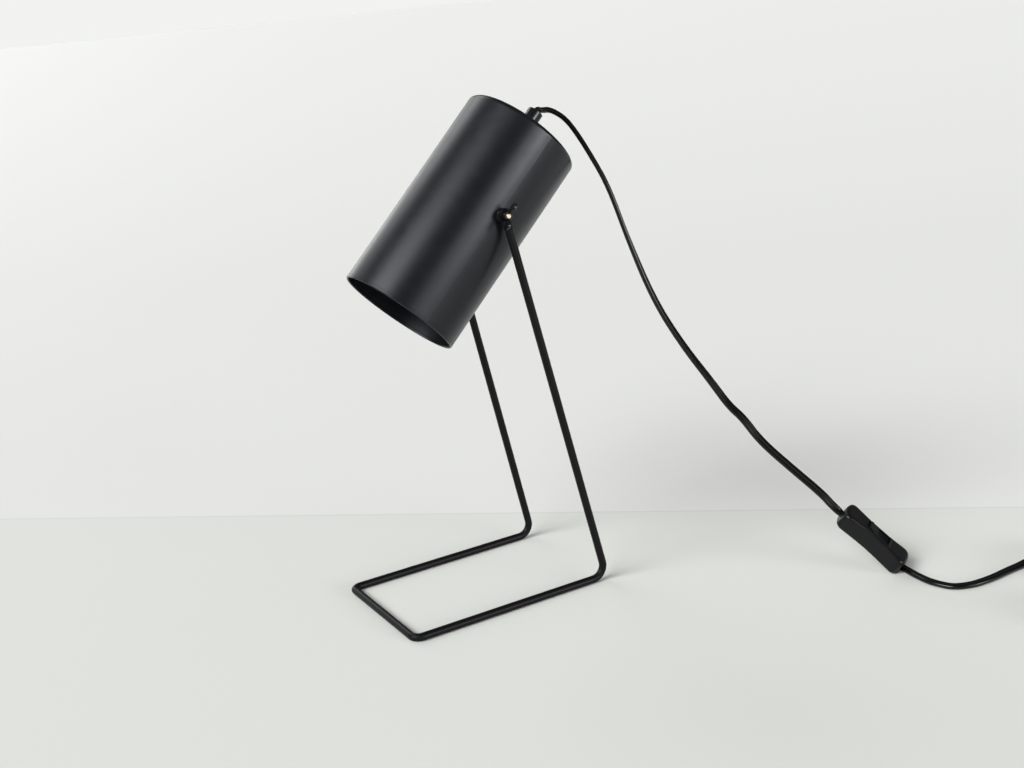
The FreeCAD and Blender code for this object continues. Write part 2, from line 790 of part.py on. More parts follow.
def build_switch_shells():
    """Lower shell and cover, parted at the cord's middle, with a raised rim round the rocker."""
    parting = -entry_drop
    floor = -switch_height / 2 + switch_wall
    roof = switch_height / 2 - switch_wall
    rim_top = switch_height / 2 + bezel_height
    rim = rocker_window(bezel_width, roof, rim_top)
    upright = [edge for edge in rim.Edges if abs(edge.CenterOfMass.x * edge.CenterOfMass.y) > 1]
    rim = rim.makeFillet(bezel_corner_r, upright)
    rim = rim.makeChamfer(bezel_edge, [edge for edge in rim.Edges if edge.CenterOfMass.z > rim_top - 0.01])
    shell = switch_blank(0).fuse(rim).cut(switch_blank(switch_wall))
    entry_width = cord_width + 2 * entry_play
    entry_height = cord_thickness + 2 * entry_rise
    for side in (-1, 1):
        start = V(side * switch_length / 2 - switch_corner_r, 0, parting)
        shell = shell.cut(stadium(entry_width, entry_height, start, X, Y).extrude(X * 2 * switch_corner_r))
    big = 2 * switch_length
    lower = shell.common(box(V(-big, -big, -big), V(big, big, parting)))
    upper = shell.common(box(V(-big, -big, parting), V(big, big, big)))
    for place in switch_posts():
        lower = lower.fuse(disc(post_r, parting - floor + 0.3, place + Z * (floor - 0.3)))
        upper = upper.fuse(disc(post_r, roof + 0.3 - parting, place + Z * parting))
        lower = lower.cut(disc(screw_shank_r + screw_play, switch_height, place - Z * switch_height))
        lower = lower.cut(disc(screw_sink_r, screw_sink_depth, place - Z * (switch_height / 2)))
        upper = upper.cut(disc(screw_shank_r, screw_shank_length, place + Z * parting))
    slot_wide = rocker_width / 2 + rocker_gap
    for side in (-1, 1):
        near = side * slot_wide
        far = side * (slot_wide + cheek_thickness)
        low = V(-cheek_half_length, min(near, far), cheek_foot)
        upper = upper.fuse(box(low, V(cheek_half_length, max(near, far), roof + 0.3)))
    upper = upper.cut(rocker_window(0, parting, switch_height))
    bore_start = V(0, -slot_wide - cheek_thickness - 0.5, rocker_pivot_height)
    bore = disc(trunnion_r + trunnion_clearance, -2 * bore_start.y, bore_start, Y)
    return lower.removeSplitter(), upper.cut(bore).removeSplitter()


def build_rocker():
    """Rocker with round ends about its trunnions, its raised tip towards the lamp."""
    reach = rocker_length / 2
    top = switch_height / 2 - rocker_pivot_height
    tip_z = top + rocker_crown
    tip_x = math.sqrt(reach ** 2 - tip_z ** 2)
    low_x = math.sqrt(reach ** 2 - rocker_depth ** 2) - rocker_taper
    shoulder = V(math.sqrt(reach ** 2 - rocker_skirt ** 2), 0, -rocker_skirt)
    tip = V(tip_x, 0, tip_z)
    dip = V(0, 0, top - rocker_dip)
    foot = V(low_x, 0, -rocker_depth)
    other_tip = V(-tip.x, 0, tip.z)
    other_foot = V(-foot.x, 0, foot.z)
    other_shoulder = V(-shoulder.x, 0, shoulder.z)
    edges = [Part.makeLine(other_tip, dip)]
    edges.append(Part.makeLine(dip, tip))
    edges.append(Part.Arc(tip, V(reach, 0, 0), shoulder).toShape())
    edges.append(Part.makeLine(shoulder, foot))
    edges.append(Part.makeLine(foot, other_foot))
    edges.append(Part.makeLine(other_foot, other_shoulder))
    edges.append(Part.Arc(other_shoulder, V(-reach, 0, 0), other_tip).toShape())
    rocker = Part.Face(Part.Wire(edges)).extrude(Y * rocker_width)
    rocker.translate(V(0, -rocker_width / 2, 0))
    axle_half = rocker_width / 2 + trunnion_length
    axle = disc(trunnion_r, 2 * axle_half, V(0, -axle_half, 0), Y)
    rocker = rocker.fuse(axle)
    rocker.rotate(V(), Y, rocker_tip)
    rocker.translate(Z * rocker_pivot_height)
    return rocker


def build_switch_screws():
    screws = []
    seat = screw_sink_depth - switch_height / 2
    head_low = seat - sink_head_height
    for place in switch_posts():
        head = disc(screw_sink_r - sink_play, sink_head_height, place + Z * head_low)
        shank = disc(screw_shank_r, screw_shank_length, place + Z * seat)
        half = sink_slot_width / 2
        low = place + V(-screw_sink_r, -half, head_low)
        slot = box(low, place + V(screw_sink_r, half, head_low + sink_slot_depth))
        screws.append(head.fuse(shank).cut(slot).removeSplitter())
    return Part.makeCompound(screws)


def build_switch_contacts():
    floor = -switch_height / 2 + switch_wall
    half = block_size / 2
    contacts = []
    for side in (-1, 1):
        centre = side * block_offset
        block = box(V(centre - half, -half, floor), V(centre + half, half, floor + block_height))
        start = min(side * strip_start, side * (strip_start + strip_length))
        strip_low = V(start, -strip_width / 2, floor)
        strip = box(strip_low, strip_low + V(strip_length, strip_width, strip_thickness))
        contacts.append(block.fuse(strip).removeSplitter())
    return Part.makeCompound(contacts)


# ---------------------------------------------------------------- table cord, coil and plug
def build_table_cord():
    radii = cord_bends(table_route)
    route = table_route[::-1]
    level = Z.cross(route[1] - route[0])
    first = stadium(cord_width, cord_thickness, route[0], route[1] - route[0], level)
    cord, _ = carried(first, route, radii[::-1])
    report_cord("table cord", cord, table_route, radii)
    return cord


def build_coil():
    outer = disc(coil_r + coil_width / 2, coil_height, coil_centre + Z * coil_low)
    ring = outer.cut(disc(coil_r - coil_width / 2, coil_height, coil_centre + Z * coil_low))
    return ring.makeChamfer(coil_edge, [edge for edge in ring.Edges if edge.Closed])


def chamfered_block(low, high, length, edge):
    """Block between two corners in the XZ plane, its long edges along Y chamfered."""
    block = box(V(low.x, -length / 2, low.z), V(high.x, length / 2, high.z))
    return block.makeChamfer(edge, [side for side in block.Edges if abs(side.Length - length) < 0.01])


def build_tie():
    """Band round one place of the coil."""
    inner_r = coil_r - coil_width / 2
    near = math.sqrt(inner_r ** 2 - (tie_width / 2) ** 2) - tie_play
    far = coil_r + coil_width / 2 + tie_play
    low = V(near, 0, coil_low - tie_play)
    high = V(far, 0, coil_low + coil_height + tie_play)
    skin = V(tie_thickness, 0, tie_thickness)
    outer = chamfered_block(low - skin, high + skin, tie_width, coil_edge)
    inner = chamfered_block(low, high, 2 * tie_width, coil_edge - tie_play)
    tie = outer.cut(inner)
    tie.rotate(V(), Z, tie_turn)
    tie.translate(coil_centre)
    return tie


def plug_place(shape):
    """Move a plug piece from its own axes, pins along +X, to the end of the cord."""
    ahead = plug_route[-1] - plug_route[-2]
    ahead.z = 0
    ahead.normalize()
    shape = shape.copy()
    turn = FreeCAD.Rotation(ahead, Z.cross(ahead), Z, "XZY")
    shape.Placement = FreeCAD.Placement(plug_route[-1], turn).multiply(shape.Placement)
    return shape


def build_plug_lead():
    radii = cord_bends(plug_route)
    route = plug_route[::-1]
    level = Z.cross(route[1] - route[0])
    first = stadium(cord_width, cord_thickness, route[0], route[1] - route[0], level)
    lead, _ = carried(first, route, radii[::-1])
    report_cord("plug lead", lead, plug_route, radii)
    return lead


def build_plug_body():
    rear = relief_length
    front = relief_length + plug_length
    half = plug_width / 2
    narrow = plug_rear_width / 2
    corners = [V(rear, -narrow, 0), V(front - plug_shoulder, -half, 0), V(front, -half, 0)]
    corners += [V(front, half, 0), V(front - plug_shoulder, half, 0), V(rear, narrow, 0)]
    body = Part.Face(Part.makePolygon(corners + corners[:1])).extrude(Z * plug_thickness)
    body.translate(V(0, 0, -plug_thickness / 2))
    rims = [edge for edge in body.Edges if abs(edge.CenterOfMass.x - front) > 0.01]
    body = body.makeFillet(plug_edge_r, rims)
    relief = Part.makeCone(relief_rear_r, relief_front_r, relief_length + relief_overlap, V(), X)
    rib = box(V(0, -relief_front_r, -relief_rib / 2), V(front, relief_front_r, relief_rib / 2))
    for k in range(relief_slots):
        start = V(relief_slot_start + relief_slot_pitch * k, 0, 0)
        bed = relief_slot_bed_r + relief_slot_growth * k
        ring = tube(relief_front_r + relief_rib, bed, relief_slot_width, start, X)
        relief = relief.cut(ring.cut(rib))
    return plug_place(body.fuse(relief).removeSplitter())


def build_plug_pins():
    front = relief_length + plug_length
    pins = []
    for side in (-1, 1):
        start = V(front, side * pin_spacing / 2, 0)
        core = disc(pin_core_r, sleeve_length, start, X)
        bare = disc(pin_r, pin_length - sleeve_length, start + X * sleeve_length, X)
        far = front + pin_length - 0.1
        tip = [edge for edge in bare.Edges if edge.Closed and edge.CenterOfMass.x > far]
        pins.append(core.fuse(bare.makeFillet(pin_tip_r, tip)).removeSplitter())
    return plug_place(Part.makeCompound(pins))


def build_pin_sleeves():
    front = relief_length + plug_length
    sleeves = []
    for side in (-1, 1):
        sleeves.append(tube(sleeve_r, pin_core_r, sleeve_length, V(front, side * pin_spacing / 2, 0), X))
    return plug_place(Part.makeCompound(sleeves))


# ---------------------------------------------------------------- export
export("wire_frame", build_wire_frame())

export("shade", on_axis(build_shade()))
export("pivot_screws", at_pivot(build_pivot_screws()))
export("saddle_washers", at_pivot(build_saddle_washers()))
export("pivot_spacers", at_pivot(build_pivot_spacers()))
export("cord_grip", on_axis(build_cord_grip()))
export("grip_screw", on_axis(build_grip_screw()))
export("top_nipple", on_axis(build_top_nipple()))
export("nipple_nut", on_axis(build_nipple_nut()))
export("lock_washer", on_axis(build_lock_washer()))
export("holder_cap", on_axis(build_holder_cap()))
export("holder_body", on_axis(build_holder_body()))
export("holder_insert", on_axis(build_holder_insert()))
export("thread_shell", on_axis(build_thread_shell()))
export("centre_contact", on_axis(build_centre_contact()))
export("side_contact", on_axis(build_side_contact()))
export("terminal_screws", on_axis(build_terminal_screws()))

wing_nut = build_wing_nut()
export("wing_nut_right", wing_nut)
export("wing_nut_left", wing_nut.mirror(V(), X))

exit_cord, hanging_cord, inner_cord, cord_across = build_lamp_cord()
export("cord_exit", exit_cord)
export("cord_to_switch", hanging_cord)
export("inner_cord", inner_cord)
upright_across = FreeCAD.Rotation(X, math.degrees(tilt)).multVec(cord_across)
export("core_leads", on_axis(build_core_leads(upright_across)))

switch_lower, switch_upper = build_switch_shells()
export("switch_base", placed_switch(switch_lower))
export("switch_cover", placed_switch(switch_upper))
export("switch_rocker", placed_switch(build_rocker()))
export("switch_screws", placed_switch(build_switch_screws()))
export("switch_contacts", placed_switch(build_switch_contacts()))

export("cord_to_plug", build_table_cord())
export("cord_coil", build_coil())
export("coil_tie", build_tie())
export("plug_lead", build_plug_lead())
export("plug_body", build_plug_body())
export("plug_pins", build_plug_pins())
export("pin_sleeves", build_pin_sleeves())
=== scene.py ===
import json
import math

import bmesh
import bpy
import numpy as np
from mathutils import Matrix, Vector


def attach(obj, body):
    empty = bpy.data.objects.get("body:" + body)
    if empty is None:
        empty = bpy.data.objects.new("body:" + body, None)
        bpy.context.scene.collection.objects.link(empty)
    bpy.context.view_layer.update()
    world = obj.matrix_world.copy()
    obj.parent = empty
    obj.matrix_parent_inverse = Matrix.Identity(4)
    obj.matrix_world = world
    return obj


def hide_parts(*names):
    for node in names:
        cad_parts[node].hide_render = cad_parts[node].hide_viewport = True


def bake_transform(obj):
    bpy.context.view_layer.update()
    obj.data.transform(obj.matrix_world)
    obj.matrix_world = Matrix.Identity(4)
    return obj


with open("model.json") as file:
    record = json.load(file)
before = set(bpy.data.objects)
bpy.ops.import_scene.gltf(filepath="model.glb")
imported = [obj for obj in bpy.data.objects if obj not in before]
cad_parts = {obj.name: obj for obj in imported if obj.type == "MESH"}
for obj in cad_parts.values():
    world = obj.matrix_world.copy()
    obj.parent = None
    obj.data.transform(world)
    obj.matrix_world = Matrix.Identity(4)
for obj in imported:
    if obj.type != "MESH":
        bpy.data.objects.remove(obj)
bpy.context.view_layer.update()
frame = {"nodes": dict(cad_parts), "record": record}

bl_info = {
    "name": "Tabletop searchlight lamp",
    "version": (1, 0, 0),
    "blender": (4, 5, 0),
    "location": "3D View > Sidebar > Lamp",
    "description": "Surfaces, cords, screw threads and studio for a tilting tabletop searchlight lamp",
    "category": "Object",
}

# places on the lamp, in metres, in the frame of its CAD model
TILT = math.radians(45.3)
SHADE_AXIS = Vector((0.0, math.sin(TILT), math.cos(TILT)))
SHADE_FRONT = Vector((0.0, -math.cos(TILT), math.sin(TILT)))
PIVOT = Vector((0.0, 0.019107, 0.32325))
PIVOT_SETBACK = 0.00165
SHADE_MIDDLE = PIVOT + SHADE_FRONT * PIVOT_SETBACK
GRIP_TOP = 0.0971
GRIP_END = SHADE_MIDDLE + SHADE_AXIS * GRIP_TOP
SWITCH_AXIS = Vector((0.58082, 0.45155, -0.67731)).normalized()
SWITCH_SIDE = Vector((0.574976, -0.816559, -0.05132)).normalized()
SWITCH_LENGTH = 0.065
SWITCH_LOW = Vector((0.21405, GRIP_END.y + 0.18573, 0.00338))
SWITCH_TOP = SWITCH_LOW - SWITCH_AXIS * SWITCH_LENGTH
COIL_CENTRE = Vector((SWITCH_LOW.x + 0.094, SWITCH_LOW.y + 0.1143, 0.0))
TIE_RADIUS = 0.0318
TIE_TOP = 0.0151

# the spare cord: turns, control points in a turn, and the share of a turn that climbs to the upper layer
COIL_TURNS = 5.47
POINTS_PER_TURN = 15
CLIMB_TURN = 0.35
# height of the cord's middle where it lies on the table, in mm
LAID_MM = 2.15
# way around the cord's outline on its map, and the length that its twist is smoothed over, in metres
CORD_ROUND = 0.016
TWIST_SMOOTHING = 0.006

# the lamp cord's wide side at no turn, and its turns about itself: metres from the cord grip, degrees
LAMP_CORD_ACROSS = (-0.6138, 0.7895, 0.0)
LAMP_CORD_TURNS = (
    (0.0, -22.0), (0.12, -22.0), (0.141, -14.0), (0.178, 0.0), (0.213, 6.0), (0.244, 14.0),
    (0.269, 24.0), (0.29, 34.0), (0.305, 43.0), (0.317, 68.0), (0.4275, 68.0), (0.435, 0.0),
)


# ---------------------------------------------------------------- properties
class LampSizes(bpy.types.PropertyGroup):
    """Sizes of the pieces made here"""

    cord_width: bpy.props.FloatProperty(
        name="Cord width", description="Width of the flat twin cord", default=0.0068,
        unit="LENGTH", precision=5,
    )
    cord_thickness: bpy.props.FloatProperty(
        name="Cord thickness", description="Thickness of the flat twin cord", default=0.0041,
        unit="LENGTH", precision=5,
    )
    grip_width: bpy.props.FloatProperty(
        name="Cord grip width", description="Diameter of the cord grip", default=0.0133,
        unit="LENGTH", precision=5,
    )
    waist_start: bpy.props.FloatProperty(
        name="Waist start", description="Half width of the switch that its waist leaves alone",
        default=0.0066, unit="LENGTH", precision=5,
    )
    waist_share: bpy.props.FloatProperty(
        name="Waist share", description="Share of the width beyond that start that the waist takes",
        default=0.45,
    )
    coil_inner: bpy.props.FloatProperty(
        name="Coil inner radius", description="Radius of the innermost turn of spare cord", default=0.0262,
        unit="LENGTH", precision=5,
    )
    coil_outer: bpy.props.FloatProperty(
        name="Coil outer radius", description="Radius of the outermost turn of spare cord", default=0.037,
        unit="LENGTH", precision=5,
    )
    coil_low: bpy.props.FloatProperty(
        name="Coil lower layer", description="Height of the middle of the lower turns", default=0.0035,
        unit="LENGTH", precision=5,
    )
    coil_high: bpy.props.FloatProperty(
        name="Coil upper layer", description="Height of the middle of the upper turns", default=0.00995,
        unit="LENGTH", precision=5,
    )
    shell_pitch: bpy.props.FloatProperty(
        name="Shell thread pitch", description="Pitch of the E27 thread, seven turns to the inch",
        default=0.00363, unit="LENGTH", precision=5,
    )
    shell_crest: bpy.props.FloatProperty(
        name="Shell thread crest", description="Radius over the inner crests of the E27 thread",
        default=0.01225, unit="LENGTH", precision=5,
    )


class LampColours(bpy.types.PropertyGroup):
    """Colours of the finishes, as sRGB hex"""

    shade: bpy.props.StringProperty(name="Shade", description="Powder coat of the shade", default="#0f1014")
    wire: bpy.props.StringProperty(name="Wire", description="Paint of the wire stand", default="#0f0f11")
    cord: bpy.props.StringProperty(name="Cord", description="Sheath of the cord", default="#0a090a")
    switch: bpy.props.StringProperty(name="Switch", description="Housing of the switch", default="#0e0e10")
    floor: bpy.props.StringProperty(name="Floor", description="Pale table top", default="#d9dbd6")
    far_end: bpy.props.StringProperty(name="Far end", description="Far end of the table", default="#dfe0dd")
    # the far end's lightest colour, where it fades out, is painted light of a wall lit more strongly higher
    # up
    distance: bpy.props.StringProperty(name="Distance", description="Where it fades out", default="#eeefec")


# ---------------------------------------------------------------- small helpers
def linear(colour):
    """Linear RGBA of an sRGB hex colour."""
    values = [int(colour[i : i + 2], 16) / 255 for i in (1, 3, 5)]
    return [v / 12.92 if v <= 0.04045 else ((v + 0.055) / 1.055) ** 2.4 for v in values] + [1.0]


def shaded(colour, share):
    """A linear colour made lighter or darker."""
    return [min(value * share, 1.0) for value in colour[:3]] + [1.0]


def grey(value):
    """Linear RGBA of a grey."""
    return [value, value, value, 1.0]


def node(tree, kind, settings=(), **inputs):
    """Add a node to a tree, set its settings, and set or link its inputs.

    An input is named by its label with underscores, or by i and its number. The setting 'stops' fills
    a colour ramp with places and colours."""
    made = tree.nodes.new(kind)
    for key, value in dict(settings).items():
        if key == "stops":
            elements = made.color_ramp.elements
            while len(elements) < len(value):
                elements.new(0.5)
            for element, (place, colour) in zip(elements, value):
                element.position = place
                element.color = colour
        else:
            setattr(made, key, value)
    for key, value in inputs.items():
        is_number = key[0] == "i" and key[1:].isdigit()
        socket = made.inputs[int(key[1:])] if is_number else made.inputs[key.replace("_", " ")]
        if isinstance(value, bpy.types.NodeSocket):
            tree.links.new(value, socket)
        else:
            socket.default_value = value
    return made


def material(name):
    """A new material, its node tree and its Principled shader."""
    made = bpy.data.materials.new(name)
    made.use_nodes = True
    return made, made.node_tree, made.node_tree.nodes["Principled BSDF"]


def clouds(tree, size_mm, low, high, detail=2.0):
    """Soft patches of that size over the piece, between two colours or two greys."""
    place = node(tree, "ShaderNodeTexCoord").outputs["Object"]
    patches = node(tree, "ShaderNodeTexNoise", i0=place, Scale=1000.0 / size_mm, Detail=detail)
    stops = {"stops": [(0.3, low), (0.7, high)]}
    return node(tree, "ShaderNodeValToRGB", stops, Fac=patches.outputs["Fac"]).outputs["Color"]


def grain(tree, size_mm, depth_mm, below=None):
    """Fine relief of that size and depth, laid over another relief if one is given."""
    place = node(tree, "ShaderNodeTexCoord").outputs["Object"]
    height = node(tree, "ShaderNodeTexNoise", i0=place, Scale=1000.0 / size_mm, Detail=2.0).outputs["Fac"]
    made = node(tree, "ShaderNodeBump", Strength=1.0, Distance=depth_mm / 1000, Height=height)
    if below is not None:
        tree.links.new(below, made.inputs["Normal"])
    return made.outputs[0]


# ---------------------------------------------------------------- finishes
def powder_coat(colours):
    """Polyester powder coat on drawn steel sheet, sprayed and stoved: satin matt with a faint peel."""
    made, tree, shader = material("satin powder coat, shade")
    base = linear(colours.shade)
    # the pigment is even: broad faint clouds only keep the black from looking cut out
    tint = clouds(tree, 38.0, shaded(base, 0.92), shaded(base, 1.12), 3.0)
    tree.links.new(tint, shader.inputs["Base Color"])
    tree.links.new(clouds(tree, 9.0, grey(0.29), grey(0.33), 3.0), shader.inputs["Roughness"])
    shader.inputs["Specular IOR Level"].default_value = 0.38
    # the pigment's fine blue-black flakes cool the sheen a little
    shader.inputs["Specular Tint"].default_value = (0.91, 0.945, 1.0, 1.0)
    # orange peel about 1.6 mm across, twice the real size so that it shows, under a finer grain
    peel = grain(tree, 1.6, 0.008)
    tree.links.new(grain(tree, 0.55, 0.003, peel), shader.inputs["Normal"])
    return made


def wire_paint(colours):
    """Black paint dipped on bright drawn rod, with a little brown showing through in soft patches."""
    made, tree, shader = material("dipped paint, steel wire")
    base = linear(colours.wire)
    brown = [base[0] * 1.5, base[1] * 1.15, base[2] * 0.9, 1.0]
    tree.links.new(clouds(tree, 14.0, base, brown, 3.0), shader.inputs["Base Color"])
    tree.links.new(clouds(tree, 5.0, grey(0.35), grey(0.43)), shader.inputs["Roughness"])
    shader.inputs["Specular IOR Level"].default_value = 0.12
    shader.inputs["Specular Tint"].default_value = (0.94, 0.95, 1.0, 1.0)
    tree.links.new(grain(tree, 1.1, 0.005), shader.inputs["Normal"])
    return made


def black_metal(name, roughness):
    """Black oxide and paint on a small steel or cast part: dark, a little uneven, with a dull shine."""
    made, tree, shader = material(name)
    tint = clouds(tree, 3.0, linear("#0a0a0c"), linear("#121112"), 3.0)
    tree.links.new(tint, shader.inputs["Base Color"])
    rough = clouds(tree, 1.4, grey(roughness * 0.85), grey(roughness * 1.2))
    tree.links.new(rough, shader.inputs["Roughness"])
    tree.links.new(grain(tree, 0.8, 0.003), shader.inputs["Normal"])
    return made


def bright_metal(name, light, dark, roughness):
    """Plated or rolled metal: a bright surface with faint clouds and a fine grain."""
    made, tree, shader = material(name)
    tree.links.new(clouds(tree, 1.8, linear(dark), linear(light), 3.0), shader.inputs["Base Color"])
    shader.inputs["Metallic"].default_value = 1.0
    rough = clouds(tree, 0.7, grey(roughness * 0.8), grey(roughness * 1.25))
    tree.links.new(rough, shader.inputs["Roughness"])
    tree.links.new(grain(tree, 0.35, 0.003), shader.inputs["Normal"])
    return made


def moulded_plastic(name, colour, roughness, grain_mm, grain_depth_mm, gloss=0.5):
    """Injection-moulded plastic from an eroded mould: an even fine grain that spreads the shine."""
    made, tree, shader = material(name)
    base = linear(colour)
    tree.links.new(clouds(tree, 6.0, base, shaded(base, 1.25)), shader.inputs["Base Color"])
    rough = clouds(tree, 3.0, grey(roughness * 0.92), grey(min(roughness * 1.1, 1.0)))
    tree.links.new(rough, shader.inputs["Roughness"])
    shader.inputs["Specular IOR Level"].default_value = gloss
    tree.links.new(grain(tree, grain_mm, grain_depth_mm), shader.inputs["Normal"])
    return made


def cord_sheath(colours):
    """Extruded soft PVC: a satin skin with faint drag marks along the cord, read from its own map."""
    made, tree, shader = material("extruded pvc, flat twin cord")
    base = linear(colours.cord)
    along = node(tree, "ShaderNodeTexCoord").outputs["UV"]
    # drag marks about 70 mm long and 1 mm apart
    streaks = node(tree, "ShaderNodeMapping", i0=along, Scale=(14.0, 900.0, 1.0)).outputs[0]
    marks = node(tree, "ShaderNodeTexNoise", i0=streaks, Scale=1.0, Detail=3.0).outputs["Fac"]
    stops = {"stops": [(0.35, base), (0.8, shaded(base, 1.2))]}
    tint = node(tree, "ShaderNodeValToRGB", stops, Fac=marks).outputs["Color"]
    tree.links.new(tint, shader.inputs["Base Color"])
    tree.links.new(clouds(tree, 7.0, grey(0.16), grey(0.21)), shader.inputs["Roughness"])
    shader.inputs["Specular IOR Level"].default_value = 0.33
    relief = node(tree, "ShaderNodeBump", Strength=1.0, Distance=0.000004, Height=marks).outputs[0]
    tree.links.new(relief, shader.inputs["Normal"])
    return made


def glazed_steatite():
    """Pressed steatite with a thin fired glaze: creamy white, smooth, with a clear highlight."""
    made, tree, shader = material("glazed steatite, holder insert")
    tree.links.new(clouds(tree, 4.0, linear("#ddd8cb"), linear("#ebe7dc")), shader.inputs["Base Color"])
    tree.links.new(clouds(tree, 2.0, grey(0.18), grey(0.27)), shader.inputs["Roughness"])
    return made


def core_insulation():
    """Extruded PVC of the two cores: brown on one side of the lamp's middle, blue on the other."""
    made, tree, shader = material("extruded pvc, cores")
    place = node(tree, "ShaderNodeTexCoord").outputs["Object"]
    across = node(tree, "ShaderNodeSeparateXYZ", i0=place).outputs[0]
    share = node(tree, "ShaderNodeMapRange", i0=across, i1=-0.0002, i2=0.0002, i3=0.0, i4=1.0).outputs[0]
    stops = {"stops": [(0.0, linear("#5a3320")), (1.0, linear("#2a5f9e"))]}
    tint = node(tree, "ShaderNodeValToRGB", stops, Fac=share).outputs["Color"]
    tree.links.new(tint, shader.inputs["Base Color"])
    tree.links.new(clouds(tree, 3.0, grey(0.34), grey(0.46)), shader.inputs["Roughness"])
    return made


def make_finishes(colours):
    """Every finish by the name of its slot in the record."""
    switch = moulded_plastic("eroded abs, switch housing", colours.switch, 0.32, 0.45, 0.006, 0.24)
    return {
        "shade_coat": powder_coat(colours),
        "wire_coat": wire_paint(colours),
        "black_steel": black_metal("painted steel, spacers", 0.22),
        "black_nut": black_metal("painted cast wing nuts", 0.13),
        "zinc": bright_metal("yellow zinc plating, screws", "#d8cfb8", "#b0a792", 0.26),
        "brass": bright_metal("rolled brass, contacts", "#d0a960", "#ad8743", 0.28),
        "nickel": bright_metal("nickel plating, plug pins", "#d6d4ce", "#bdbbb6", 0.18),
        "grip_plastic": moulded_plastic("moulded nylon, cord grip", "#0d0d0f", 0.26, 0.5, 0.003, 0.36),
        "holder_plastic": moulded_plastic("moulded thermoset, lampholder", "#191919", 0.34, 0.6, 0.006),
        "ceramic": glazed_steatite(),
        "cord_pvc": cord_sheath(colours),
        "core_pvc": core_insulation(),
        "switch_plastic": switch,
        # the rocker is darker and duller than the housing: partly its own black, partly painted shade of
        # the well it sits in
        "rocker_plastic": moulded_plastic("moulded abs, rocker with painted shade", "#0a0a0b", 0.46, 0.5, 0.006, 0.12),
        "tie_plastic": moulded_plastic("paper and wire tie", "#dcdcd6", 0.6, 0.4, 0.02),
        "plug_pvc": moulded_plastic("moulded pvc, plug", "#121214", 0.42, 0.5, 0.012, 0.4),
        "sleeve_plastic": moulded_plastic("moulded nylon, pin sleeves", "#1c1c1c", 0.45, 0.5, 0.006),
    }


# ---------------------------------------------------------------- routes of the cords
def hung(share, back, lift):
    """Point of the hanging cord: its share of the way from grip to switch, moved back and up by mm."""
    return GRIP_END + (SWITCH_TOP - GRIP_END) * share + Vector((0.0, back, lift)) / 1000


def laid(right, back, lift=0.0):
    """Point of the cord on the table, in mm from the switch's lower end, lifted off the table."""
    return Vector((SWITCH_LOW.x + right / 1000, SWITCH_LOW.y + back / 1000, (LAID_MM + lift) / 1000))


def lamp_route():
    """Control points from the cord grip down to the switch."""
    return [
        GRIP_END,
        GRIP_END + SHADE_AXIS * 0.0032,
        hung(0.0035, 5.1, 2.3),
        hung(0.0181, 9.6, 7.3),
        hung(0.0537, 12.6, 12.5),
        hung(0.0915, 12.5, 14.1),
        hung(0.1472, 11.9, 10.8),
        hung(0.2026, 11.1, 4.7),
        hung(0.2601, 10.4, -19.1),
        hung(0.3481, 8.5, -42.4),
        hung(0.4466, 7.6, -47.6),
        hung(0.5419, 6.8, -45.4),
        hung(0.6022, 5.7, -44.9),
        hung(0.6549, 4.4, -37.1),
        hung(0.7139, 4.0, -37.1),
        hung(0.8440, 1.8, -18.8),
        hung(0.9369, -0.1, -4.8),
        SWITCH_TOP - SWITCH_AXIS * 0.008,
        SWITCH_TOP + SWITCH_AXIS * 0.005,
    ]


def coil_route(sizes):
    """Control points of the coil: inwards in the lower layer, then outwards in the upper one."""
    points = []
    half = COIL_TURNS / 2
    count = round(COIL_TURNS * POINTS_PER_TURN)
    # the spline touches its control polygon at the middle of each side, so the points lie further out
    spread = 1 / math.cos(math.pi / POINTS_PER_TURN)
    for k in range(1, count):
        turn = COIL_TURNS * k / count
        share = min(turn, COIL_TURNS - turn) / half
        radius = sizes.coil_outer + (sizes.coil_inner - sizes.coil_outer) * share
        climb = min(max((turn - half) / CLIMB_TURN + 0.5, 0.0), 1.0)
        height = sizes.coil_low + (sizes.coil_high - sizes.coil_low) * climb * climb * (3 - 2 * climb)
        angle = math.pi - 2 * math.pi * turn
        flat = Vector((math.cos(angle), math.sin(angle), 0.0)) * (radius * spread)
        points.append(COIL_CENTRE + flat + Vector((0.0, 0.0, height)))
    return points


def table_route(sizes):
    """Control points from the switch along the table, through the coil, to the plug."""
    floor_part = [
        SWITCH_LOW - SWITCH_AXIS * 0.005,
        SWITCH_LOW + SWITCH_AXIS * 0.001,
        laid(7.4, -0.4, 0.3),
        laid(18.9, -1.8),
        laid(32.9, -2.6),
        laid(44.3, 0.1),
        laid(52.6, 3.9),
        laid(58.3, 15.0),
        laid(60.2, 25.4),
        laid(60.5, 41.5),
        laid(59.0, 59.3),
        laid(59.1, 77.2, 0.3),
        laid(58.3, 93.3, 1.0),
        laid(58.0, 107.3, 1.8),
    ]
    plug_part = [
        COIL_CENTRE + Vector((0.0353, 0.0069, sizes.coil_high)),
        COIL_CENTRE + Vector((0.0374, -0.0039, 0.0093)),
        COIL_CENTRE + Vector((0.0401, -0.0176, 0.00695)),
        COIL_CENTRE + Vector((0.0416, -0.0255, 0.00685)),
    ]
    return floor_part + coil_route(sizes) + plug_part


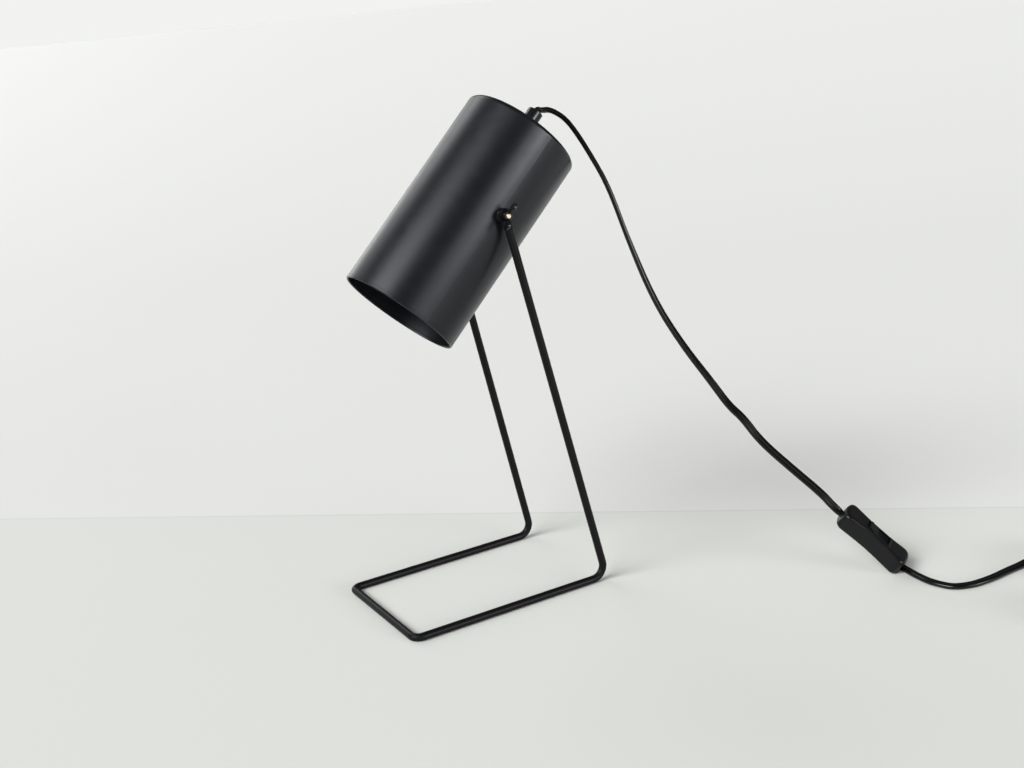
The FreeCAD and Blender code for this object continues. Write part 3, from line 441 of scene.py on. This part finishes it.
def spline_path(name, points, resolution):
    """Points along a smooth NURBS spline that has these control points."""
    curve = bpy.data.curves.new(name, "CURVE")
    curve.dimensions = "3D"
    curve.resolution_u = resolution
    spline = curve.splines.new("NURBS")
    spline.points.add(len(points) - 1)
    for place, point in zip(spline.points, points):
        place.co = (*point, 1.0)
    spline.order_u = 3
    spline.use_endpoint_u = True
    holder = bpy.data.objects.new(name, curve)
    bpy.context.scene.collection.objects.link(holder)
    bpy.context.view_layer.update()
    line = bpy.data.meshes.new_from_object(holder.evaluated_get(bpy.context.evaluated_depsgraph_get()))
    path = np.array([vertex.co[:] for vertex in line.vertices])
    bpy.data.objects.remove(holder)
    bpy.data.curves.remove(curve)
    bpy.data.meshes.remove(line)
    keep = np.concatenate([[True], np.linalg.norm(np.diff(path, axis=0), axis=1) > 1e-6])
    return path[keep]


def lengths_along(path):
    """Length of the path up to each of its points."""
    return np.concatenate([[0.0], np.cumsum(np.linalg.norm(np.diff(path, axis=0), axis=1))])


def unit(rows):
    """Rows of directions, each made one long."""
    return rows / np.linalg.norm(rows, axis=1)[:, None]


def twin_section(sizes, arc_steps=14):
    """Outline of the flat twin cord, as points across and up: two round cores that run into each other."""
    radius = sizes.cord_thickness / 2
    offset = (sizes.cord_width - sizes.cord_thickness) / 2
    past = math.asin(offset / radius)
    outline = []
    for k in range(arc_steps):
        angle = -math.pi / 2 - past + (math.pi + 2 * past) * k / arc_steps
        outline.append((offset + radius * math.cos(angle), radius * math.sin(angle)))
    return outline + [(-across, -up) for across, up in outline]


def swept_cord(name, path, sides, sizes, finish):
    """Piece of the twin cord along a path, with its wide side along 'sides'.

    Its map is in metres along and around the cord."""
    section = twin_section(sizes)
    count = len(section)
    ahead = unit(np.gradient(path, axis=0))
    sides = unit(sides - ahead * (sides * ahead).sum(1)[:, None])
    ups = np.cross(ahead, sides)
    lengths = lengths_along(path)
    mesh = bmesh.new()
    rings = []
    for place, side, up in zip(path, sides, ups):
        rings.append([mesh.verts.new(place + side * across + up * high) for across, high in section])
    layer = mesh.loops.layers.uv.new("along and around")
    around = np.linspace(0.0, CORD_ROUND, count + 1)
    for index, (ring, following) in enumerate(zip(rings, rings[1:])):
        for k in range(count):
            after = (k + 1) % count
            face = mesh.faces.new((ring[k], following[k], following[after], ring[after]))
            corners = ((index, k), (index + 1, k), (index + 1, k + 1), (index, k + 1))
            for loop, (row, column) in zip(face.loops, corners):
                loop[layer].uv = (lengths[row], around[column])
            face.smooth = True
    mesh.faces.new(rings[0][::-1])
    mesh.faces.new(rings[-1])
    bmesh.ops.recalc_face_normals(mesh, faces=mesh.faces)
    return piece_from(mesh, name, finish)


def piece_from(mesh, name, finish):
    """Object at the origin from an edited mesh."""
    data = bpy.data.meshes.new(name)
    mesh.to_mesh(data)
    mesh.free()
    data.materials.append(finish)
    made = bpy.data.objects.new(name, data)
    bpy.context.scene.collection.objects.link(made)
    return made


def turned(name, profile, segments, finish):
    """Ring turned about the shade's axis from a closed profile of radii and heights in mm."""
    mesh = bmesh.new()
    rings = []
    for radius, height in profile:
        middle = SHADE_MIDDLE + SHADE_AXIS * (height / 1000)
        ring = []
        for k in range(segments):
            angle = 2 * math.pi * k / segments
            out = Vector((math.cos(angle), 0.0, 0.0)) + SHADE_FRONT * math.sin(angle)
            ring.append(mesh.verts.new(middle + out * (radius / 1000)))
        rings.append(ring)
    for ring, following in zip(rings, rings[1:] + rings[:1]):
        for k in range(segments):
            after = (k + 1) % segments
            mesh.faces.new((ring[k], ring[after], following[after], following[k])).smooth = True
    bmesh.ops.recalc_face_normals(mesh, faces=mesh.faces)
    crisp = math.radians(35.0)
    for edge in mesh.edges:
        edge.smooth = edge.calc_face_angle() < crisp
    return piece_from(mesh, name, finish)


def turned_sides(path, across, keys):
    """Direction of the cord's wide side at every point: 'across' turned about the cord by keyed angles.

    Each key is a length along the cord in metres and an angle in degrees."""
    ahead = unit(np.gradient(path, axis=0))
    lengths = lengths_along(path)
    base = unit(across - ahead * (across * ahead).sum(1)[:, None])
    other = np.cross(ahead, base)
    places, angles = zip(*keys)
    turn = np.radians(np.interp(lengths, places, angles))
    width = max(3, int(TWIST_SMOOTHING / (lengths[-1] / len(lengths))))
    kernel = np.hanning(width * 2 + 1)
    kernel /= kernel.sum()
    turn = np.convolve(np.pad(turn, width, mode="edge"), kernel, mode="valid")
    return base * np.cos(turn)[:, None] + other * np.sin(turn)[:, None]


# ---------------------------------------------------------------- studio
# soft lights: direction, half width in degrees, strength
SOFTBOXES = (
    ((-0.024, -0.797, 0.603), 18.0, 12.6),
    ((0.238, -0.719, 0.653), 18.0, 6.1),
    ((0.419, -0.705, 0.572), 18.0, 5.6),
    ((-0.787, -0.045, 0.616), 18.0, 3.1),
    ((-0.685, -0.296, 0.666), 18.0, 0.8),
    ((-0.994, -0.088, 0.059), 26.0, 2.5),
    ((0.939, 0.172, 0.297), 11.0, 5.4),
    ((0.876, 0.456, 0.155), 14.0, 18.5),
)
ROOM_LIGHT = 0.1
# heights of a ray's heading between which it turns from the far end to the soft lights
MIRROR_LOW, MIRROR_HIGH = 0.02, 0.04

# the table top: half its side, the level way from the camera, and places along that way, in metres
TABLE_HALF = 900.0
AWAY = (-0.747, 0.665, 0.0)
# where the painted shade of the gap before the far end starts and ends
GAP_SHADE_START, GAP_SHADE_END = 0.1550, 0.1565
FAR_START, FAR_END = 0.1580, 0.1600
CAMERA_BACK = 1.047


def melamine_board(colours):
    """Melamine-faced board: an even, pale, nearly matt sheet, with its far end in a lighter colour that
    grows lighter with distance as painted light.
    """
    made, tree, shader = material("white melamine board")
    near = linear(colours.floor)
    far = linear(colours.far_end)
    place = node(tree, "ShaderNodeTexCoord").outputs["Object"]
    depth = node(tree, "ShaderNodeVectorMath", {"operation": "DOT_PRODUCT"}, i0=place, i1=AWAY)
    depth = depth.outputs["Value"]
    # a faint darker line just before the far end: painted shade of the gap where the table top meets it
    stops = {"stops": [(0.0, near), (1.0, shaded(near, 0.94))]}
    line = node(tree, "ShaderNodeMapRange", i0=depth, i1=GAP_SHADE_START, i2=GAP_SHADE_END, i3=0.0, i4=1.0).outputs[0]
    front = node(tree, "ShaderNodeValToRGB", stops, Fac=line).outputs["Color"]
    # painted light: the far end grows lighter with one over its distance from the camera, standing in for a
    # wall lit more strongly higher up
    back = node(tree, "ShaderNodeMath", {"operation": "ADD"}, i0=depth, i1=CAMERA_BACK).outputs[0]
    nearest = CAMERA_BACK + FAR_END
    nearness = node(tree, "ShaderNodeMath", {"operation": "DIVIDE"}, i0=nearest, i1=back).outputs[0]
    stops = {"stops": [(0.0, linear(colours.distance)), (0.5, shaded(far, 1.033)), (1.0, far)]}
    far_painted_light = node(tree, "ShaderNodeValToRGB", stops, Fac=nearness).outputs["Color"]
    share = node(tree, "ShaderNodeMapRange", i0=depth, i1=FAR_START, i2=FAR_END, i3=0.0, i4=1.0).outputs[0]
    tint = node(tree, "ShaderNodeMix", {"data_type": "RGBA"}, i0=share, i6=front, i7=far_painted_light).outputs[2]
    tree.links.new(tint, shader.inputs["Base Color"])
    shader.inputs["Roughness"].default_value = 0.7
    shader.inputs["Specular IOR Level"].default_value = 0.2
    return made


def studio_world(colours):
    """World that shines with the soft lights and shows the camera the plain far end."""
    world = bpy.data.worlds.new("studio")
    world.use_nodes = True
    tree = world.node_tree
    heading = node(tree, "ShaderNodeTexCoord").outputs["Generated"]
    light = None
    for towards, width, strength in SOFTBOXES:
        facing = node(tree, "ShaderNodeVectorMath", {"operation": "DOT_PRODUCT"}, i0=heading, i1=towards)
        soft = node(tree, "ShaderNodeMapRange", {"interpolation_type": "SMOOTHSTEP"},
                    i0=facing.outputs["Value"], i1=math.cos(math.radians(width)), i2=1.0, i3=0.0,
                    i4=strength).outputs[0]
        if light is not None:
            soft = node(tree, "ShaderNodeMath", {"operation": "ADD"}, i0=light, i1=soft).outputs[0]
        light = soft
    light = node(tree, "ShaderNodeMath", {"operation": "ADD"}, i0=light, i1=ROOM_LIGHT).outputs[0]
    background = tree.nodes["Background"]
    background.inputs["Color"].default_value = linear("#ffffff")
    tree.links.new(light, background.inputs["Strength"])
    plain = shaded(linear(colours.distance), 1.04)
    seen = node(tree, "ShaderNodeBackground", Color=plain, Strength=1.0)
    # mirrored and refracted rays see the far end too, but only low down, and the soft lights higher up
    rays = node(tree, "ShaderNodeLightPath").outputs
    height = node(tree, "ShaderNodeSeparateXYZ", i0=heading).outputs["Z"]
    low = node(tree, "ShaderNodeMapRange", i0=height, i1=MIRROR_LOW, i2=MIRROR_HIGH, i3=1.0,
               i4=0.0).outputs[0]
    bounced = node(tree, "ShaderNodeMath", {"operation": "MAXIMUM"}, i0=rays["Is Glossy Ray"],
                   i1=rays["Is Transmission Ray"]).outputs[0]
    bounced = node(tree, "ShaderNodeMath", {"operation": "MULTIPLY"}, i0=bounced, i1=low).outputs[0]
    share = node(tree, "ShaderNodeMath", {"operation": "MAXIMUM"}, i0=rays["Is Camera Ray"],
                 i1=bounced).outputs[0]
    mix = node(tree, "ShaderNodeMixShader", Fac=share, i1=background.outputs[0], i2=seen.outputs[0])
    tree.links.new(mix.outputs[0], tree.nodes["World Output"].inputs["Surface"])
    return world


finishes = {}


def collect_finishes():
    """The finishes by the name of their slot, made once."""
    if not finishes:
        finishes.update(make_finishes(bpy.context.scene.lamp_colours))
    return finishes


# ---------------------------------------------------------------- wound ridges
def wound_ridge_tree():
    """Node tree of a round ridge wound along an axis, for a rolled thread or a twisted wire."""
    tree = bpy.data.node_groups.new("wound ridge", "GeometryNodeTree")
    for name, kind in (
        ("Radius", "NodeSocketFloat"),
        ("Length", "NodeSocketFloat"),
        ("Turns", "NodeSocketFloat"),
        ("Ridge across", "NodeSocketFloat"),
        ("Ridge along", "NodeSocketFloat"),
        ("Two strands", "NodeSocketBool"),
        ("Turned", "NodeSocketVector"),
        ("Place", "NodeSocketVector"),
        ("Finish", "NodeSocketMaterial"),
    ):
        tree.interface.new_socket(name, in_out="INPUT", socket_type=kind)
    tree.interface.new_socket("Geometry", in_out="OUTPUT", socket_type="NodeSocketGeometry")
    given = node(tree, "NodeGroupInput").outputs
    spiral = node(tree, "GeometryNodeCurveSpiral", Resolution=40, Rotations=given["Turns"],
                  Height=given["Length"], Start_Radius=given["Radius"], End_Radius=given["Radius"],
                  Reverse=False)
    level = node(tree, "GeometryNodeSetCurveNormal", {"mode": "Z_UP"}, Curve=spiral.outputs[0])
    ring = node(tree, "GeometryNodeCurvePrimitiveCircle", Resolution=14, Radius=1.0)
    scale = node(tree, "ShaderNodeCombineXYZ", X=given["Ridge across"], Y=given["Ridge along"], Z=1.0)
    oval = node(tree, "GeometryNodeTransform", Geometry=ring.outputs[0], Scale=scale.outputs[0])
    strand = node(tree, "GeometryNodeCurveToMesh", Curve=level.outputs[0], Profile_Curve=oval.outputs[0],
                  Fill_Caps=True)
    across = node(tree, "GeometryNodeTransform", Geometry=strand.outputs[0], Rotation=(0.0, 0.0, math.pi))
    both = node(tree, "GeometryNodeJoinGeometry")
    tree.links.new(strand.outputs[0], both.inputs[0])
    tree.links.new(across.outputs[0], both.inputs[0])
    chosen = node(tree, "GeometryNodeSwitch", {"input_type": "GEOMETRY"}, Switch=given["Two strands"],
                  i1=strand.outputs[0], i2=both.outputs[0])
    placed = node(tree, "GeometryNodeTransform", Geometry=chosen.outputs[0], Rotation=given["Turned"],
                  Translation=given["Place"])
    smooth = node(tree, "GeometryNodeSetShadeSmooth", Geometry=placed.outputs[0])
    real = node(tree, "GeometryNodeRealizeInstances", Geometry=smooth.outputs[0])
    dressed = node(tree, "GeometryNodeSetMaterial", Geometry=real.outputs[0], Material=given["Finish"])
    node(tree, "NodeGroupOutput", Geometry=dressed.outputs[0])
    return tree


def wound_ridge(name, **values):
    """A plain mesh made by the wound ridge's tree from these values."""
    tree = bpy.data.node_groups.get("wound ridge") or wound_ridge_tree()
    holder = bpy.data.objects.new(name + "_holder", bpy.data.meshes.new(name + "_holder"))
    bpy.context.scene.collection.objects.link(holder)
    modifier = holder.modifiers.new("wound ridge", "NODES")
    modifier.node_group = tree
    for item in tree.interface.items_tree:
        if item.in_out == "INPUT":
            modifier[item.identifier] = values[item.name.lower().replace(" ", "_")]
    bpy.context.view_layer.update()
    evaluated = holder.evaluated_get(bpy.context.evaluated_depsgraph_get())
    mesh = bpy.data.meshes.new_from_object(evaluated)
    mesh.name = name
    made = bpy.data.objects.new(name, mesh)
    bpy.data.objects.remove(holder)
    bpy.context.scene.collection.objects.link(made)
    return made


# ---------------------------------------------------------------- operators
class LAMP_OT_camera(bpy.types.Operator):
    """Set up the camera"""

    bl_idname = "lamp.camera"
    bl_label = "Camera"

    def execute(self, context):
        focal_px, width_px, sensor_mm = 1350.124, 1024, 36.0
        data = bpy.data.cameras.new("camera")
        data.sensor_fit = "HORIZONTAL"
        data.sensor_width = sensor_mm
        data.lens = focal_px / width_px * sensor_mm
        data.clip_start = 0.01
        data.clip_end = 2000.0
        camera = bpy.data.objects.new("camera", data)
        camera.location = (0.9729241, -0.4816111, 0.4849597)
        camera.rotation_euler = (1.2919251, 0.0953620, 1.0511117)
        context.scene.collection.objects.link(camera)
        context.scene.camera = camera
        return {"FINISHED"}


class LAMP_OT_switch_shells(bpy.types.Operator):
    """Draw in the waist of the switch's two shells outside the rocker's frame"""

    bl_idname = "lamp.switch_shells"
    bl_label = "Switch shells"

    def execute(self, context):
        sizes = context.scene.lamp_sizes
        middle = (SWITCH_TOP + SWITCH_LOW) / 2
        # half the waist's length, and the cuts across each shell that let it bend
        reach, spacing, cuts = 0.027, 0.002, 13
        merged, crisp = 0.000001, math.radians(30.0)
        for name in ("switch_base", "switch_cover"):
            mesh = bmesh.new()
            mesh.from_mesh(frame["nodes"][name].data)
            bmesh.ops.remove_doubles(mesh, verts=mesh.verts, dist=merged)
            for k in range(-cuts, cuts + 1):
                whole = mesh.verts[:] + mesh.edges[:] + mesh.faces[:]
                plane = middle + SWITCH_AXIS * (k * spacing)
                bmesh.ops.bisect_plane(mesh, geom=whole, plane_co=plane, plane_no=SWITCH_AXIS)
            for vert in mesh.verts:
                along = (vert.co - middle).dot(SWITCH_AXIS)
                across = (vert.co - middle).dot(SWITCH_SIDE)
                beyond = abs(across) - sizes.waist_start
                if abs(along) < reach and beyond > 0:
                    share = math.cos(math.pi / 2 * along / reach) ** 2
                    vert.co -= SWITCH_SIDE * math.copysign(beyond * sizes.waist_share * share, across)
            for face in mesh.faces:
                face.smooth = True
            for edge in mesh.edges:
                edge.smooth = edge.calc_face_angle(0.0) < crisp
            shell = piece_from(mesh, name + "_shell", collect_finishes()["switch_plastic"])
            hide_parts(name)
            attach(shell, "stand")
        return {"FINISHED"}


class LAMP_OT_lamp_cord(bpy.types.Operator):
    """Make the flat cord from the cord grip to the switch"""

    bl_idname = "lamp.lamp_cord"
    bl_label = "Cord to the switch"

    def execute(self, context):
        sizes = context.scene.lamp_sizes
        path = spline_path("lamp_cord_line", lamp_route(), 12)
        sides = turned_sides(path, np.array(LAMP_CORD_ACROSS), LAMP_CORD_TURNS)
        cord = swept_cord("cord_lamp_to_switch", path, sides, sizes, collect_finishes()["cord_pvc"])
        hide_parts("cord_exit", "cord_to_switch")
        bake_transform(cord)
        return {"FINISHED"}


class LAMP_OT_table_cord(bpy.types.Operator):
    """Make the flat cord from the switch over the table and through the coil to the plug"""

    bl_idname = "lamp.table_cord"
    bl_label = "Cord to the plug"

    def execute(self, context):
        sizes = context.scene.lamp_sizes
        path = spline_path("table_cord_line", table_route(sizes), 6)
        lengths = lengths_along(path)
        total = lengths[-1]
        # flat on the table, on edge in the coil, and flat again into the plug
        keys = [(0.0, 0.0), (0.125, 0.0), (0.14, 25.0), (0.155, 60.0), (0.17, 90.0),
                (total - 0.03, 90.0), (total - 0.008, 0.0)]
        places, angles = zip(*keys)
        turn = np.radians(np.interp(lengths, places, angles))
        ahead = np.gradient(path, axis=0)
        level = unit(np.cross([0.0, 0.0, 1.0], ahead))
        up = np.cross(unit(ahead), level)
        sides = level * np.cos(turn)[:, None] + up * np.sin(turn)[:, None]
        cord = swept_cord("cord_switch_to_plug", path, sides, sizes, collect_finishes()["cord_pvc"])
        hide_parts("cord_to_plug", "cord_coil", "plug_lead")
        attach(cord, "stand")
        print("table cord", round(float(total), 4))
        return {"FINISHED"}


class LAMP_OT_cord_grip(bpy.types.Operator):
    """Turn the cord grip on the shade's top, with the hole of its set screw"""

    bl_idname = "lamp.cord_grip"
    bl_label = "Cord grip"

    def execute(self, context):
        sizes = context.scene.lamp_sizes
        # heights above the shade's middle and radii, in mm: the nipple's bore ends at the step
        foot, step, rim = 77.1, 86.1, 97.9
        nipple, hole, outer = 5.02, 3.6, sizes.grip_width * 500
        profile = [(nipple, foot), (outer - 0.3, foot), (outer, foot + 0.3), (outer, rim - 0.5),
                   (outer - 0.07, rim - 0.25), (outer - 0.25, rim - 0.07), (outer - 0.5, rim),
                   (hole + 0.4, rim), (hole, rim - 0.4), (hole, step), (nipple, step)]
        grip = turned("cord_grip_ring", profile, 64, collect_finishes()["grip_plastic"])
        # the set screw's hole, in metres: its radius, length, middle and height above the shade's middle
        radius, length, aside, height = 0.00152, 0.01, 0.0085, 0.0916
        bore = bmesh.new()
        bmesh.ops.create_cone(bore, cap_ends=True, segments=32, radius1=radius, radius2=radius,
                              depth=length)
        towards = Vector((1.0, 0.0, 0.0)).to_track_quat("Z", "Y").to_matrix().to_4x4()
        bmesh.ops.transform(bore, matrix=towards, verts=bore.verts)
        place = SHADE_MIDDLE + SHADE_AXIS * height - Vector((aside, 0.0, 0.0))
        bmesh.ops.translate(bore, vec=place, verts=bore.verts)
        cutter = piece_from(bore, "set_screw_bore", grip.data.materials[0])
        cut = grip.modifiers.new("set screw bore", "BOOLEAN")
        cut.operation = "DIFFERENCE"
        cut.solver = "EXACT"
        cut.object = cutter
        context.view_layer.update()
        whole = grip.data
        grip.data = bpy.data.meshes.new_from_object(grip.evaluated_get(context.evaluated_depsgraph_get()))
        grip.modifiers.clear()
        bpy.data.meshes.remove(whole)
        bpy.data.objects.remove(cutter)
        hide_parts("cord_grip")
        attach(grip, "shade")
        return {"FINISHED"}


class LAMP_OT_shell_thread(bpy.types.Operator):
    """Roll the thread of the lampholder's screw shell"""

    bl_idname = "lamp.shell_thread"
    bl_label = "Thread of the screw shell"

    def execute(self, context):
        sizes = context.scene.lamp_sizes
        # ends of the thread above the shade's middle, and the radius that its roots reach
        low, high, roots = 0.0182, 0.0354, 0.0136
        depth = roots - sizes.shell_crest
        thread = wound_ridge(
            "shell_thread",
            radius=sizes.shell_crest + depth / 2,
            length=high - low,
            turns=(high - low) / sizes.shell_pitch,
            ridge_across=depth / 2,
            ridge_along=sizes.shell_pitch * 0.33,
            two_strands=False,
            turned=(-TILT, 0.0, 0.0),
            place=SHADE_MIDDLE + SHADE_AXIS * low,
            finish=collect_finishes()["brass"],
        )
        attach(thread, "shade")
        return {"FINISHED"}


class LAMP_OT_tie_twist(bpy.types.Operator):
    """Twist the ends of the tie that holds the spare cord"""

    bl_idname = "lamp.tie_twist"
    bl_label = "Twisted ends of the tie"

    def execute(self, context):
        heading = math.radians(60.0)
        out = Vector((math.cos(heading) * TIE_RADIUS, math.sin(heading) * TIE_RADIUS, TIE_TOP))
        start = COIL_CENTRE + out
        strand = 0.0006
        twist = wound_ridge(
            "tie_twist",
            radius=0.0005,
            length=0.014,
            turns=3.5,
            ridge_across=strand,
            ridge_along=strand,
            two_strands=True,
            turned=(0.0, math.radians(90.0), heading + math.radians(70.0)),
            place=start,
            finish=collect_finishes()["tie_plastic"],
        )
        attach(twist, "stand")
        return {"FINISHED"}


class LAMP_OT_surfaces(bpy.types.Operator):
    """Give every CAD part its finish"""

    bl_idname = "lamp.surfaces"
    bl_label = "Finishes of the parts"

    def execute(self, context):
        made = collect_finishes()
        for part in frame["record"]["subparts"]:
            data = frame["nodes"][part["node"]].data
            for place in range(max(1, len(data.materials))):
                if place < len(data.materials):
                    data.materials[place] = made[part["material_slot"]]
                else:
                    data.materials.append(made[part["material_slot"]])
        return {"FINISHED"}


class LAMP_OT_studio(bpy.types.Operator):
    """Make the table top, the world and the lights"""

    bl_idname = "lamp.studio"
    bl_label = "Studio"

    def execute(self, context):
        context.scene.view_settings.view_transform = "Standard"
        colours = context.scene.lamp_colours
        mesh = bmesh.new()
        bmesh.ops.create_grid(mesh, x_segments=1, y_segments=1, size=TABLE_HALF)
        floor = piece_from(mesh, "table_top", melamine_board(colours))
        context.scene.world = studio_world(colours)
        return {"FINISHED"}


class LAMP_PT_panel(bpy.types.Panel):
    """Steps of the lamp, in order"""

    bl_label = "Searchlight lamp"
    bl_idname = "LAMP_PT_panel"
    bl_space_type = "VIEW_3D"
    bl_region_type = "UI"
    bl_category = "Lamp"

    def draw(self, context):
        for step in STEPS:
            self.layout.operator(step.bl_idname)
        for group in (context.scene.lamp_sizes, context.scene.lamp_colours):
            for key in group.__annotations__:
                self.layout.prop(group, key)


STEPS = (
    LAMP_OT_camera,
    LAMP_OT_cord_grip,
    LAMP_OT_switch_shells,
    LAMP_OT_lamp_cord,
    LAMP_OT_tie_twist,
    LAMP_OT_table_cord,
    LAMP_OT_shell_thread,
    LAMP_OT_surfaces,
    LAMP_OT_studio,
)
CLASSES = (LampSizes, LampColours, *STEPS, LAMP_PT_panel)


def register():
    for made in CLASSES:
        bpy.utils.register_class(made)
    bpy.types.Scene.lamp_sizes = bpy.props.PointerProperty(type=LampSizes)
    bpy.types.Scene.lamp_colours = bpy.props.PointerProperty(type=LampColours)


def unregister():
    del bpy.types.Scene.lamp_colours
    del bpy.types.Scene.lamp_sizes
    for made in reversed(CLASSES):
        bpy.utils.unregister_class(made)


def main():
    register()
    for step in STEPS:
        area, name = step.bl_idname.split(".")
        getattr(getattr(bpy.ops, area), name)()


if __name__ == "__main__":
    main()
